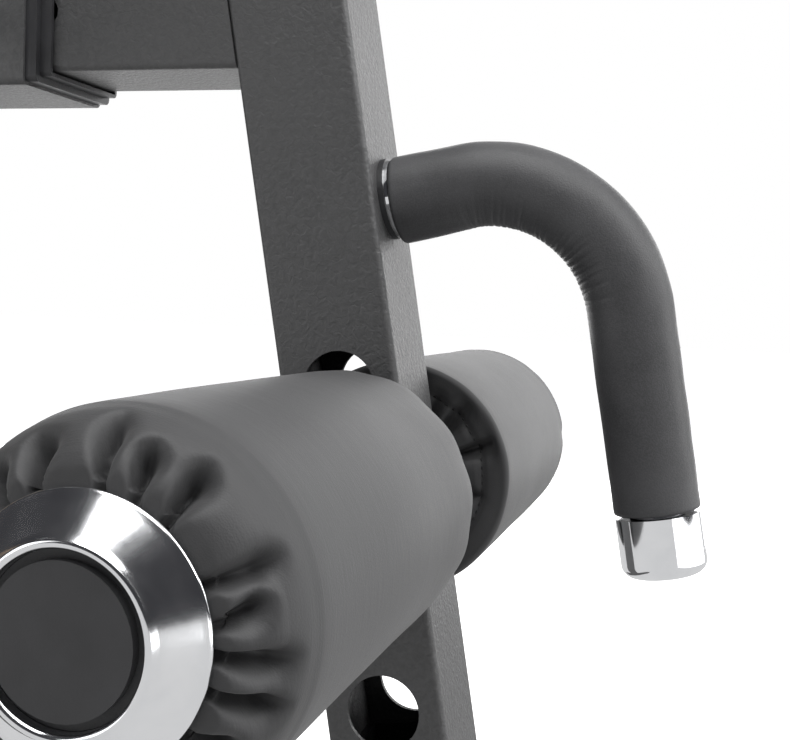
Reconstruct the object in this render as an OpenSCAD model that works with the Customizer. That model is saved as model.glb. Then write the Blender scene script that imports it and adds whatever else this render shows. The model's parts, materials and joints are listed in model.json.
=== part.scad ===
// Decline sit-up bench. A floor frame carries a front upright with a telescoping ankle boom,
// a pair of knee rollers and a long pad that tilts down at the head end.
// +X points to the foot end, +Y to the left of a person lying on the pad, +Z up; the floor is Z = 0.

/* [Ankle post] */
// Lean of the ankle post from vertical, its top towards the pad, in degrees
post_lean = 10.5; // [8:0.5:12]
// Width of the square post, boom and foot tubes
post_w = 60; // [56:1:62]
// Wall thickness of the post and boom
post_wall = 2.5; // [2:0.5:4]
// Height of the ankle axle above the floor
ankle_z = 345; // [335:5:365]
// Length of the post below the ankle axle
post_below = 140; // [138:1:150]
// Length of the post above the ankle axle
post_above = 288; // [286:1:300]
// Spacing of the axle holes down the post
hole_pitch = 53; // [50:1:56]
// Diameter of the axle holes
hole_d = 36.4; // [34:0.2:38]

/* [Handle] */
// Diameter of the handle's steel tube
handle_d = 26; // [22:1:30]
// Diameter of the foam grip
grip_d = 40.3; // [36:0.1:44]
// Height of the handle on the post above the ankle axle
handle_p = 143; // [135:1:150]
// Straight length of the handle before its bend
handle_straight = 39.6; // [34:0.2:45]
// Centreline radius of the handle's bend
handle_bend_r = 70.6; // [65:0.2:75]
// Distance of the grip's lower end below the ankle axle
grip_below = 25.4; // [15:0.2:35]
// Length of the handle's end cap
handle_cap_len = 29; // [24:1:36]

/* [Rollers] */
// Outside diameter of the upholstered rollers
roller_d = 126; // [116:1:130]
// Distance of a roller's inner end from the middle of the bench
roller_in = 43.8; // [43:0.2:48]
// Distance of a roller's outer end from the middle of the bench
roller_out = 275; // [260:1:290]
// Thickness of the rollers' cover
cover_t = 2; // [1.5:0.5:3]
// Outside diameter of the axle tubes
axle_d = 32; // [30:0.5:32]
// Largest diameter of the rollers' bevelled end caps
end_cap_d = 81.8; // [76:0.2:86]

/* [Boom] */
// Height of the boom's underside above the ankle axle
boom_rise = 206.5; // [204:0.5:212]
// Outside width of the square sleeve that holds the boom
sleeve_w = 76; // [75:0.5:78]
// Distance from the ankle axle back to the sleeve's front end
sleeve_front = 183; // [175:1:190]
// Length of the sleeve
sleeve_len = 272; // [268:1:276]

/* [Knee rollers] */
// Distance of the knee axle behind the ankle axle
knee_back = 300; // [295:1:305]
// Height of the knee axle above the ankle axle
knee_rise = 360; // [355:1:370]

/* [Pad] */
// Length of the pad
pad_len = 1090; // [1000:5:1100]
// Width of the pad
pad_w = 300; // [260:5:320]
// Thickness of the cushion
cushion_t = 58; // [45:1:65]
// Thickness of the plywood board
board_t = 15; // [12:1:18]
// Distance of the pad's front edge behind the ankle axle
pad_front = 390; // [388:1:400]
// Width of the square rail under the pad
rail_w = 50; // [46:1:50]
// Radius at which the decline pin sits from the pad's pivot
index_r = 170; // [165:1:175]
// Steepest decline of the pad, in degrees
decline_max = 28; // [24:1:28]

/* [Base] */
// Length of the floor cross tubes
foot_len = 640; // [600:10:700]
// Thickness of the rubber feet
rubber_t = 12; // [8:1:16]
// Radius of the transport wheels
wheel_r = 35; // [32:1:36]

/* [Hidden] */
$fn = 64;

// gaps
slide_gap = 0.3;
run_gap = 0.08;
eps = 0.01;
big = 2000;

// handle, in the post's own frame
grip_q = post_w / 2 + handle_straight + handle_bend_r;
grip_r = grip_d / 2;
handle_cap_r = grip_r + 0.05;
handle_cap_round = 6.5;
cap_gap = 1.1;
handle_end = grip_below + cap_gap + handle_cap_len;
flange_t = 2.8;
ring_t = 1.8;
grip_q0 = post_w / 2 + flange_t + ring_t;

// the plug in the post's lower end stays clear of the lowest hole
post_plug = 11;

// the ankle axle's X, which puts the middle of the whole length at X = 0
handle_reach = (grip_q + handle_cap_r - handle_cap_round) * cos(post_lean)
    + (handle_end - handle_cap_round) * sin(post_lean) + handle_cap_round;
ankle_x = (pad_front + pad_len - handle_reach) / 2;

// rollers and their end caps
ankle_axis = [ankle_x, 0, ankle_z];
core_r = 20;
cover_round_in = 6;
cover_round_out = 16;
cap_back = roller_out + slide_gap;
cap_hub_t = 2.5;
cap_depth = 12.1;
cap_rim_t = 1;
cap_front_r = 28.9;
recess_r = 25.4;
bolt_r = 5;
slug_len = 25;

// boom and sleeve
boom_z = ankle_z + boom_rise + post_w / 2;
sleeve_x1 = ankle_x - sleeve_front;
sleeve_x0 = sleeve_x1 - sleeve_len;
sleeve_wall = 3;
sleeve_in = sleeve_w - 2 * sleeve_wall;
boom_rear = sleeve_x0 + 55;
boom_pin_x = ankle_x - 225;
boom_hole_pitch = 25;
collar_lip = 6.5;

// upright and knee post
upright_x = ankle_x - knee_back;
upright_d = 80;
foot_top = rubber_t + post_w;
knee_x = ankle_x - knee_back;
knee_z = ankle_z + knee_rise;
knee_post_top = knee_z + 40;
knee_axis = [knee_x, 0, knee_z];
knee_plug = 14;

// pad, rail and pivot
plate_t = 5;
pivot_x = sleeve_x0 - 45;
pivot_z = ankle_z + 267;
rail_front = 18;
rail_rear = ankle_x - pad_front - pad_len + 40;
rail_top = pivot_z + rail_w / 2;
board_z = rail_top + plate_t;
cushion_z = board_z + board_t;
ear_in = 30;
ear_t = 8;
back_x = sleeve_x0 - ear_t;
pivot_r = 8;
pad_mid_x = ankle_x - pad_front - pad_len / 2;
pad_plate_x = [pad_mid_x - 380, pad_mid_x, pivot_x - 60];
pad_bolt_y = 95;

// decline index
index_t = 8;
cheek_t = 8;
cheek_gap = 0.5;
cheek_out = index_t / 2 + cheek_gap + cheek_t;
index_angle = 44;
index_step = decline_max / 4;
index_seat = [-index_r * cos(index_angle), 0, -index_r * sin(index_angle)];

// index plungers
pin_r = 6;
pin_tip = 7;
pin_travel = 13;
barrel_len = 36;
barrel_r = 11;
chamber_r = 9;
plunger_shoulder = -pin_travel - 6.6;
boom_pin_seat = [boom_pin_x, -sleeve_w / 2, boom_z];
decline_pin_seat = [pivot_x, -cheek_out, pivot_z] + index_seat;

// feet and wheels
foot_wall = 3;
front_foot_x = ankle_x - 110;
rear_foot_x = ankle_x - 1330;
wheel_x = rear_foot_x - post_w / 2 - wheel_r - 5;
wheel_z = wheel_r + 3;
wheel_y = 255;
wheel_w = 24;
lug_t = 8;

black_paint = [0.16, 0.16, 0.17];
black_plastic = [0.08, 0.08, 0.09];
leatherette = [0.17, 0.17, 0.18];
foam_grey = [0.3, 0.3, 0.31];
chrome = [0.85, 0.86, 0.88];
steel = [0.62, 0.63, 0.65];
wood = [0.72, 0.58, 0.4];

// ---------- shapes ----------

// flat rectangle with round corners
module round_rect(w, h, r) {
    square([w - 2 * r, h], center = true);
    square([w, h - 2 * r], center = true);
    for (i = [-1, 1], j = [-1, 1])
        translate([i * (w / 2 - r), j * (h / 2 - r)]) circle(r);
}

// rectangular tube standing on Z = 0
module tube_z(w, d, wall, len, r = 3) {
    linear_extrude(len) difference() {
        round_rect(w, d, r);
        square([w - 2 * wall, d - 2 * wall], center = true);
    }
}

// rectangular tube along +X from X = 0, centred on Y and Z
module tube_x(w, h, wall, len, r = 3) {
    rotate([90, 0, 90]) tube_z(w, h, wall, len, r);
}

// square plastic cap on a tube's end: a plate on Z = 0 and a plug below it
module tube_cap(w, wall, plug = 22, t = 4) {
    linear_extrude(t) round_rect(w, w, 3);
    translate([0, 0, -plug]) linear_extrude(plug + eps) difference() {
        round_rect(w - 2 * wall, w - 2 * wall, 1);
        square(w - 2 * wall - 8, center = true);
    }
}

// turns children so that their +Z points along +Y
module along_y() { rotate([-90, 0, 0]) children(); }

// both sides of the bench
module both_sides() { for (s = [0, 1]) mirror([0, s, 0]) children(); }

// the post's own frame: local X across the post towards the handle, local Z up the post
module in_post() { translate(ankle_axis) rotate([0, -post_lean, 0]) children(); }
module at_pivot() { translate([pivot_x, 0, pivot_z]) children(); }
// ---------- roller parts; axis is the axle's middle, side 1 is left and -1 right ----------

// half outline of a roller with rounded ends, as radius against distance
module roller_outline(r, y0, y1, round_in, round_out) {
    intersection() {
        union() {
            translate([0, y0]) square([r - round_in, y1 - y0 - round_out]);
            translate([0, y0 + round_in]) square([r, y1 - y0 - round_in - round_out]);
            translate([r - round_in, y0 + round_in]) circle(round_in);
            translate([0, y1 - round_out - 1]) square([r - round_out, round_out + 1]);
            translate([r - round_out, y1 - round_out]) circle(round_out);
        }
        square([big, big]);
    }
}
module foam_outline() {
    roller_outline(roller_d / 2 - cover_t, roller_in + cover_t, roller_out - cover_t,
        cover_round_in - cover_t, cover_round_out - cover_t);
}
// round solid about the axle, from a half outline of radius against distance
module spin_about(axis, side) {
    translate(axis) mirror([0, side < 0 ? 1 : 0, 0]) along_y() rotate_extrude($fn = 96) children();
}
module roller_core(axis, side) {
    color(black_plastic) spin_about(axis, side) translate([axle_d / 2 + run_gap, roller_in])
        square([core_r - axle_d / 2 - run_gap, roller_out - roller_in]);
}
module roller_foam(axis, side) {
    color(foam_grey) spin_about(axis, side) difference() {
        foam_outline();
        square([core_r, big]);
    }
}
module roller_cover(axis, side) {
    color(leatherette) spin_about(axis, side) difference() {
        roller_outline(roller_d / 2, roller_in, roller_out, cover_round_in, cover_round_out);
        foam_outline();
        square([core_r, big]);
    }
}
module axle(axis) {
    color(steel) translate(axis) along_y() difference() {
        translate([0, 0, -cap_back]) cylinder(d = axle_d, h = 2 * cap_back);
        cylinder(r = axle_d / 2 - 3, h = 2 * (cap_back - slug_len), center = true);
        cylinder(r = bolt_r, h = big, center = true);
    }
}
module axle_collars(axis) {
    bush = 8;
    rim_t = 4;
    color(black_plastic) translate(axis) both_sides() along_y() difference() {
        union() {
            translate([0, 0, post_w / 2 - bush]) cylinder(d = hole_d, h = bush + 1);
            translate([0, 0, post_w / 2]) cylinder(r = 27, h = rim_t);
            translate([0, 0, post_w / 2]) cylinder(r = 23, h = roller_in - 0.5 - post_w / 2);
        }
        cylinder(d = axle_d, h = big);
    }
}
module roller_end_caps(axis) {
    color(chrome) both_sides() spin_about(axis, 1) translate([0, cap_back]) polygon([
        [bolt_r, 0], [end_cap_d / 2, 0], [end_cap_d / 2, cap_rim_t],
        [cap_front_r, cap_depth - 0.4], [cap_front_r - 0.7, cap_depth],
        [recess_r + 0.8, cap_depth], [recess_r, cap_depth - 0.8],
        [recess_r, cap_hub_t], [bolt_r, cap_hub_t]
    ]);
}
module cap_bolts(axis) {
    head_t = 4;
    color(steel) translate(axis) both_sides() along_y() translate([0, 0, cap_back]) difference() {
        union() {
            translate([0, 0, -slug_len + 3]) cylinder(r = bolt_r, h = slug_len);
            translate([0, 0, cap_hub_t]) cylinder(r1 = 9, r2 = 7.6, h = head_t);
        }
        translate([0, 0, cap_hub_t + 1.6]) cylinder(r = 3.4, h = head_t, $fn = 6);
    }
}
module cap_plugs(axis) {
    back_y = cap_back + cap_hub_t + 4.2;
    color(black_plastic) translate(axis) both_sides() along_y() translate([0, 0, back_y]) {
        cylinder(r = recess_r - 0.1, h = 1.2);
        cylinder(r = recess_r - 3, h = cap_depth - cap_hub_t - 5);
    }
}

// ---------- index plungers, tip towards +Y; seat is the middle of the mounting face ----------

module plunger_barrel(seat) {
    nut_len = 9;
    end_t = 4;
    color(steel) translate(seat) along_y() translate([0, 0, -barrel_len]) difference() {
        union() {
            cylinder(r = barrel_r, h = barrel_len);
            translate([0, 0, barrel_len - nut_len]) cylinder(r = barrel_r + 3, h = nut_len, $fn = 6);
        }
        translate([0, 0, end_t]) cylinder(r = chamber_r, h = barrel_len - end_t - 3);
        cylinder(r = pin_r + run_gap, h = big, center = true);
    }
}
module plunger(seat) {
    tip_t = 2;
    knob_y = -barrel_len - pin_travel - 1;
    color(black_plastic) translate(seat) along_y() {
        translate([0, 0, knob_y - 10]) cylinder(r = pin_r, h = pin_tip - tip_t - knob_y + 10);
        translate([0, 0, pin_tip - tip_t]) cylinder(r1 = pin_r, r2 = pin_r - 1.5, h = tip_t);
        translate([0, 0, plunger_shoulder]) cylinder(r = chamber_r - 0.5, h = 3);
        translate([0, 0, knob_y]) rotate_extrude() polygon([
            [0, 0], [11, 0], [11, -6], [17, -12], [18.5, -18], [17.5, -25], [13, -30], [0, -32]
        ]);
    }
}
// coil of wire between the barrel's end wall and the plunger's shoulder
module plunger_spring(seat) {
    wire = 0.6;
    mean_r = 7.7;
    turns = 5;
    steps = 16;
    ring = 8;
    clear = 0.1;
    len = barrel_len - 4 + plunger_shoulder - 2 * (wire + clear);
    count = turns * steps;
    points = [for (i = [0 : count], k = [0 : ring - 1])
        let (a = 360 * i / steps, b = 360 * k / ring, r = mean_r + wire * cos(b))
            [r * cos(a), r * sin(a), len * i / count + wire * sin(b)]];
    sides = [for (i = [0 : count - 1], k = [0 : ring - 1])
        let (n = (k + 1) % ring)
            [i * ring + k, (i + 1) * ring + k, (i + 1) * ring + n, i * ring + n]];
    ends = [[for (k = [0 : ring - 1]) k], [for (k = [ring - 1 : -1 : 0]) count * ring + k]];
    color(steel) translate(seat) along_y() translate([0, 0, -barrel_len + 4 + wire + clear])
        polyhedron(points, concat(sides, ends), convexity = 10);
}

// ---------- floor frame ----------

module base_spine() {
    x0 = rear_foot_x + post_w / 2;
    color(black_paint) translate([x0, 0, rubber_t + post_w / 2])
        tube_x(post_w, post_w, foot_wall, front_foot_x - post_w / 2 - x0);
}
module cross_tube() {
    translate([0, foot_len / 2, rubber_t + post_w / 2]) rotate([90, 0, 0])
        tube_z(post_w, post_w, foot_wall, foot_len);
}
module front_foot() { color(black_paint) translate([front_foot_x, 0, 0]) cross_tube(); }
module rear_foot() {
    color(black_paint) {
        translate([rear_foot_x, 0, 0]) cross_tube();
        both_sides() difference() {
            translate([wheel_x - 14, wheel_y - wheel_w / 2 - 1 - lug_t, wheel_z - 14])
                cube([rear_foot_x - post_w / 2 - wheel_x + 14 + eps, lug_t, 28]);
            translate([wheel_x, 0, wheel_z]) along_y() cylinder(r = bolt_r, h = big);
        }
    }
}
module tube_end_caps() {
    color(black_plastic) {
        for (x = [front_foot_x, rear_foot_x])
            both_sides() translate([x, foot_len / 2, rubber_t + post_w / 2])
                along_y() tube_cap(post_w, foot_wall);
        translate([knee_x, 0, knee_post_top]) tube_cap(post_w, foot_wall, knee_plug);
    }
}
module rubber_feet() {
    color(black_plastic) for (x = [front_foot_x, rear_foot_x])
        both_sides() translate([x, foot_len / 2 - 40, 0]) {
            cylinder(r1 = 22, r2 = 24, h = 4);
            translate([0, 0, 4 - eps]) cylinder(r = 24, h = rubber_t - 4 + eps);
        }
}
module front_upright() {
    color(black_paint) translate([upright_x, 0, foot_top])
        tube_z(upright_d, post_w, foot_wall, boom_z - sleeve_w / 2 - foot_top);
}
module upright_gusset() {
    leg = 130;
    color(black_paint) translate([upright_x - upright_d / 2, 4, foot_top]) rotate([90, 0, 0])
        linear_extrude(8) difference() {
            polygon([[0, 0], [-leg, 0], [-leg, 12], [-12, leg], [0, leg]]);
            translate([-38, 38]) circle(14);
        }
}

// ---------- sleeve, knee post and pivot bracket ----------

module boom_sleeve() {
    color(black_paint) difference() {
        translate([sleeve_x0, 0, boom_z]) tube_x(sleeve_w, sleeve_w, sleeve_wall, sleeve_len, 4);
        translate(boom_pin_seat) along_y() cylinder(r = pin_r + 0.5, h = 2 * sleeve_wall, center = true);
    }
}
module sleeve_collar() {
    hole = post_w + 2 * slide_gap;
    color(black_plastic) translate([sleeve_x1, 0, boom_z]) difference() {
        union() {
            tube_x(73, 73, 5, collar_lip, 3.5);
            translate([collar_lip, 0, 0]) tube_x(66.6, 66.6, 2, collar_lip, 3);
            translate([-60, 0, 0]) tube_x(sleeve_in, sleeve_in, 3, 60 + collar_lip, 0.5);
        }
        translate([-big / 2, -hole / 2, -hole / 2]) cube([big, hole, hole]);
        translate([boom_pin_x - sleeve_x1, -sleeve_w / 2, 0]) along_y()
            cylinder(r = pin_r + 0.5, h = sleeve_w / 2);
    }
}
module knee_post() {
    z0 = boom_z + sleeve_w / 2;
    color(black_paint) difference() {
        translate([knee_x, 0, z0]) tube_z(post_w, post_w, foot_wall, knee_post_top - z0);
        translate(knee_axis) along_y() cylinder(d = hole_d, h = 2 * post_w, center = true);
    }
}
module pivot_bracket() {
    ear_z0 = boom_z - sleeve_w / 2 + 12;
    color(black_paint) difference() {
        union() {
            translate([back_x, -sleeve_w / 2, boom_z - sleeve_w / 2]) cube([ear_t, sleeve_w, sleeve_w]);
            both_sides() {
                translate([pivot_x, ear_in, ear_z0])
                    cube([back_x - pivot_x + eps, ear_t, pivot_z + 7 - ear_z0]);
                at_pivot() along_y() translate([0, 0, ear_in]) cylinder(r = 28, h = ear_t);
            }
        }
        at_pivot() along_y() cylinder(r = pivot_r, h = big, center = true);
        translate([back_x - 100, -ear_in, pivot_z - 33]) cube([100, 2 * ear_in, big]);
    }
}
// plate of decline holes, centred on the pad's pivot and welded to bracket, sleeve and upright
module index_plate() {
    clear = rail_w / 2 + 3;
    rim_r = index_r + 20;
    steps = 12;
    down = decline_max;
    top = -40;
    reach = (clear * cos(down) + top) / -sin(down);
    along = sqrt(rim_r * rim_r - clear * clear);
    arc0 = down + asin(clear / rim_r);
    arc1 = 82;
    bracket = back_x - pivot_x;
    under = boom_z - sleeve_w / 2 - pivot_z;
    weld = upright_x - upright_d / 2 - pivot_x;
    color(black_paint) at_pivot() translate([0, index_t / 2, 0]) rotate([90, 0, 0])
        linear_extrude(index_t) difference() {
            polygon(concat(
                [[bracket, top], [clear * sin(down) - reach * cos(down), top]],
                [for (i = [0 : steps]) let (a = arc0 + (arc1 - arc0) * i / steps)
                    [-rim_r * cos(a), -rim_r * sin(a)]],
                [[weld, -rim_r - 10], [weld, under], [bracket, under]]
            ));
            for (i = [0 : 4])
                rotate(index_angle + i * index_step) translate([-index_r, 0]) circle(pin_r + 0.3);
            translate([70, -125]) circle(28);
        }
}
module pivot_bolt() {
    len = ear_in + ear_t;
    color(steel) at_pivot() along_y() {
        translate([0, 0, -len - 9]) cylinder(r = 14, h = 9, $fn = 6);
        translate([0, 0, -len - eps]) cylinder(r = pivot_r, h = 2 * len + 16);
    }
}
module pivot_nut() {
    color(steel) at_pivot() along_y() translate([0, 0, ear_in + ear_t]) difference() {
        cylinder(r = 14, h = 13, $fn = 6);
        cylinder(r = pivot_r, h = big, center = true);
    }
}

// ---------- boom, post and handle ----------

module boom() {
    color(black_paint) difference() {
        translate([boom_rear, 0, boom_z]) tube_x(post_w, post_w, post_wall, ankle_x - boom_rear);
        in_post() translate([-post_w / 2, -post_w, -big / 2]) cube([big, 2 * post_w, big]);
        for (i = [-2 : 3]) translate([boom_pin_x - i * boom_hole_pitch, -post_w / 2, boom_z])
            along_y() cylinder(r = pin_r + 0.5, h = 4 * post_wall, center = true);
    }
}
module boom_glide() {
    t = 20;
    side = sleeve_in - 2 * slide_gap;
    color(black_plastic) translate([boom_rear, 0, boom_z]) {
        translate([-4, 0, 0]) rotate([90, 0, 90]) linear_extrude(4) round_rect(side, side, 2);
        translate([-eps, 0, 0]) tube_x(side, side, (side - post_w) / 2, t, 2);
    }
}
module post() {
    color(black_paint) in_post() difference() {
        translate([0, 0, -post_below]) tube_z(post_w, post_w, post_wall, post_below + post_above);
        for (i = [-2 : 1]) translate([0, 0, i * hole_pitch])
            along_y() cylinder(d = hole_d, h = 2 * post_w, center = true);
    }
}
module post_end_caps() {
    color(black_plastic) in_post() {
        translate([0, 0, post_above]) tube_cap(post_w, post_wall);
        translate([0, 0, -post_below]) mirror([0, 0, 1]) tube_cap(post_w, post_wall, post_plug);
    }
}
// round bar that follows the handle from distance q0 off the post's middle to height p1
module handle_path(r, q0, p1) {
    translate([q0, 0, handle_p]) rotate([0, 90, 0])
        cylinder(r = r, h = post_w / 2 + handle_straight - q0);
    translate([post_w / 2 + handle_straight, 0, handle_p - handle_bend_r]) rotate([90, 0, 0])
        rotate_extrude(angle = 90) translate([handle_bend_r, 0]) circle(r);
    translate([grip_q, 0, p1]) cylinder(r = r, h = handle_p - handle_bend_r - p1);
}
module handle_tube() {
    color(chrome) in_post() difference() {
        handle_path(handle_d / 2, post_w / 2, -handle_end + 5);
        handle_path(handle_d / 2 - 2, post_w / 2 - 1, -handle_end + 4);
    }
}
module handle_washer(r, q0, t) {
    in_post() translate([q0, 0, handle_p]) rotate([0, 90, 0]) difference() {
        cylinder(r = r, h = t);
        translate([0, 0, -1]) cylinder(d = handle_d, h = t + 2);
    }
}
module handle_flange() { color(black_plastic) handle_washer(grip_r, post_w / 2, flange_t); }
module handle_ring() { color(chrome) handle_washer(grip_r - 1.2, post_w / 2 + flange_t, ring_t); }
module handle_grip() {
    color(foam_grey) in_post() difference() {
        handle_path(grip_r, grip_q0, -grip_below);
        handle_path(handle_d / 2, grip_q0 - 1, -grip_below - 1);
    }
}
module handle_end_cap() {
    r = handle_cap_r;
    c = handle_cap_round;
    color(chrome) in_post() translate([grip_q, 0, -handle_end]) difference() {
        rotate_extrude($fn = 96) intersection() {
            union() {
                square([r - c, handle_cap_len]);
                translate([0, c]) square([r, handle_cap_len - c]);
                translate([r - c, c]) circle(c);
            }
            square([r, handle_cap_len]);
        }
        translate([0, 0, 5]) cylinder(d = handle_d, h = handle_cap_len);
    }
}

// ---------- pad ----------

module pad_rail() {
    front = pivot_x + rail_front;
    tube_len = ear_in - 0.5;
    color(black_paint) difference() {
        union() {
            translate([rail_rear, 0, pivot_z]) tube_x(rail_w, rail_w, 2.5, front - rail_rear);
            at_pivot() along_y() cylinder(r = 14, h = 2 * tube_len, center = true);
        }
        at_pivot() along_y() cylinder(r = pivot_r + run_gap, h = big, center = true);
    }
}
module pad_rail_cap() {
    color(black_plastic) translate([rail_rear, 0, pivot_z]) rotate([0, -90, 0]) tube_cap(rail_w, 2.5);
}
module pin_cheeks() {
    pin_x = index_seat.x;
    pin_z = index_seat.z;
    color(black_paint) at_pivot() both_sides() translate([0, cheek_out, 0]) rotate([90, 0, 0])
        linear_extrude(cheek_t) difference() {
            union() {
                polygon([[pin_x - 45, -rail_w / 2], [pin_x + 40, -rail_w / 2],
                    [pin_x + 20, pin_z], [pin_x - 20, pin_z]]);
                translate([pin_x, pin_z]) circle(20);
            }
            translate([pin_x, pin_z]) circle(pin_r + 0.3);
        }
}
module pad_plates() {
    color(black_paint) for (x = pad_plate_x) translate([x, 0, rail_top]) linear_extrude(plate_t)
        difference() {
            round_rect(46, 250, 6);
            for (s = [-1, 1]) translate([0, s * pad_bolt_y]) circle(4);
        }
}
module pad_board() {
    color(wood) difference() {
        translate([pad_mid_x, 0, board_z]) linear_extrude(board_t) round_rect(pad_len - 16, pad_w - 16, 36);
        for (x = pad_plate_x, s = [-1, 1])
            translate([x, s * pad_bolt_y, board_z - 1]) cylinder(r = 4, h = 13);
    }
}
module pad_cushion() {
    color(leatherette) translate([pad_mid_x, 0, cushion_z]) linear_extrude(cushion_t)
        round_rect(pad_len, pad_w, 42);
}
module pad_bolts() {
    color(steel) for (x = pad_plate_x, s = [-1, 1]) translate([x, s * pad_bolt_y, rail_top]) {
        translate([0, 0, -5.5]) cylinder(r = 7.5, h = 5.5, $fn = 6);
        translate([0, 0, -1]) cylinder(r = 4, h = plate_t + 12);
    }
}

// ---------- wheels ----------

module wheel(side) {
    w = wheel_w / 2;
    color(black_plastic) translate([wheel_x, side * wheel_y, wheel_z]) along_y() rotate_extrude($fn = 96)
        polygon([
            [bolt_r + run_gap, -w], [11, -w], [11, -5], [24, -5], [24, -w + 1], [26, -w],
            [wheel_r - 3, -w], [wheel_r, -w + 3], [wheel_r, w - 3], [wheel_r - 3, w],
            [26, w], [24, w - 1], [24, 5], [11, 5], [11, w], [bolt_r + run_gap, w]
        ]);
}
module wheel_bolts() {
    inner = wheel_y - wheel_w / 2 - 1 - lug_t;
    outer = wheel_y + wheel_w / 2 + 1;
    color(steel) both_sides() translate([wheel_x, 0, wheel_z]) along_y() {
        translate([0, 0, inner - 9]) cylinder(r = bolt_r, h = outer - inner + 9 + eps);
        translate([0, 0, inner - 8]) cylinder(r = 9, h = 8, $fn = 6);
        translate([0, 0, outer]) cylinder(r1 = 9.5, r2 = 8, h = 5);
    }
}

base_spine();
front_foot();
rear_foot();
tube_end_caps();
rubber_feet();
front_upright();
upright_gusset();
boom_sleeve();
sleeve_collar();
knee_post();
pivot_bracket();
index_plate();
pivot_bolt();
pivot_nut();
plunger_barrel(boom_pin_seat);  // boom_pin_barrel
plunger_spring(boom_pin_seat);  // boom_pin_spring
plunger(boom_pin_seat);  // boom_pin
boom();
boom_glide();
post();
post_end_caps();
handle_tube();
handle_flange();
handle_ring();
handle_grip();
handle_end_cap();
axle(ankle_axis);  // ankle_axle
axle_collars(ankle_axis);  // ankle_collars
roller_end_caps(ankle_axis);  // ankle_end_caps
cap_bolts(ankle_axis);  // ankle_cap_bolts
cap_plugs(ankle_axis);  // ankle_cap_plugs
roller_core(ankle_axis, 1);  // ankle_core_left
roller_foam(ankle_axis, 1);  // ankle_foam_left
roller_cover(ankle_axis, 1);  // ankle_cover_left
roller_core(ankle_axis, -1);  // ankle_core_right
roller_foam(ankle_axis, -1);  // ankle_foam_right
roller_cover(ankle_axis, -1);  // ankle_cover_right
axle(knee_axis);  // knee_axle
axle_collars(knee_axis);  // knee_collars
roller_end_caps(knee_axis);  // knee_end_caps
cap_bolts(knee_axis);  // knee_cap_bolts
cap_plugs(knee_axis);  // knee_cap_plugs
roller_core(knee_axis, 1);  // knee_core_left
roller_foam(knee_axis, 1);  // knee_foam_left
roller_cover(knee_axis, 1);  // knee_cover_left
roller_core(knee_axis, -1);  // knee_core_right
roller_foam(knee_axis, -1);  // knee_foam_right
roller_cover(knee_axis, -1);  // knee_cover_right
pad_rail();
pad_rail_cap();
pin_cheeks();
pad_plates();
pad_board();
pad_cushion();
pad_bolts();
plunger_barrel(decline_pin_seat);  // decline_pin_barrel
plunger(decline_pin_seat);  // decline_pin
wheel(1);  // wheel_left
wheel(-1);  // wheel_right
wheel_bolts();
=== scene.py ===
"""Looks of the decline sit-up bench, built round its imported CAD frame. Units are metres."""
import json
import math

import bmesh
import bpy
import numpy as np
from mathutils import Matrix, Vector, noise
from mathutils.bvhtree import BVHTree


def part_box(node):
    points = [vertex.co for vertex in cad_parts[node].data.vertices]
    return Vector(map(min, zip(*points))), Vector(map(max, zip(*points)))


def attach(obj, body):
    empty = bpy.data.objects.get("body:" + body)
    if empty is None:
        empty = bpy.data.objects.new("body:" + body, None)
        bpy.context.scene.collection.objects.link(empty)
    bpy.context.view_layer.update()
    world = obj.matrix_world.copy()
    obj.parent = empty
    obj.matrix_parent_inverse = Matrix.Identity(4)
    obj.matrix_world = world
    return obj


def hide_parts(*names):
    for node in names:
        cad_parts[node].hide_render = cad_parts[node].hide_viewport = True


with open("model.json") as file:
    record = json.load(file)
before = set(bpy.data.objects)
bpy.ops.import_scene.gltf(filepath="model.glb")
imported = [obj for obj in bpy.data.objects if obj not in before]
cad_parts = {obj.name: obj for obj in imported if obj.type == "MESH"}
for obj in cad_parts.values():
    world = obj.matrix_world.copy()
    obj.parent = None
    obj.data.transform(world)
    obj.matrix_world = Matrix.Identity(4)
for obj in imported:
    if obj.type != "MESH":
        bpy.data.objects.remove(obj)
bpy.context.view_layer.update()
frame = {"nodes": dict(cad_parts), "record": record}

MM = 0.001


def middle(node):
    low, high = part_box(node)
    return (low + high) / 2


ANKLE = middle("ankle_axle")
KNEE = middle("knee_axle")

# ---------------------------------------------------------------- materials


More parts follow.
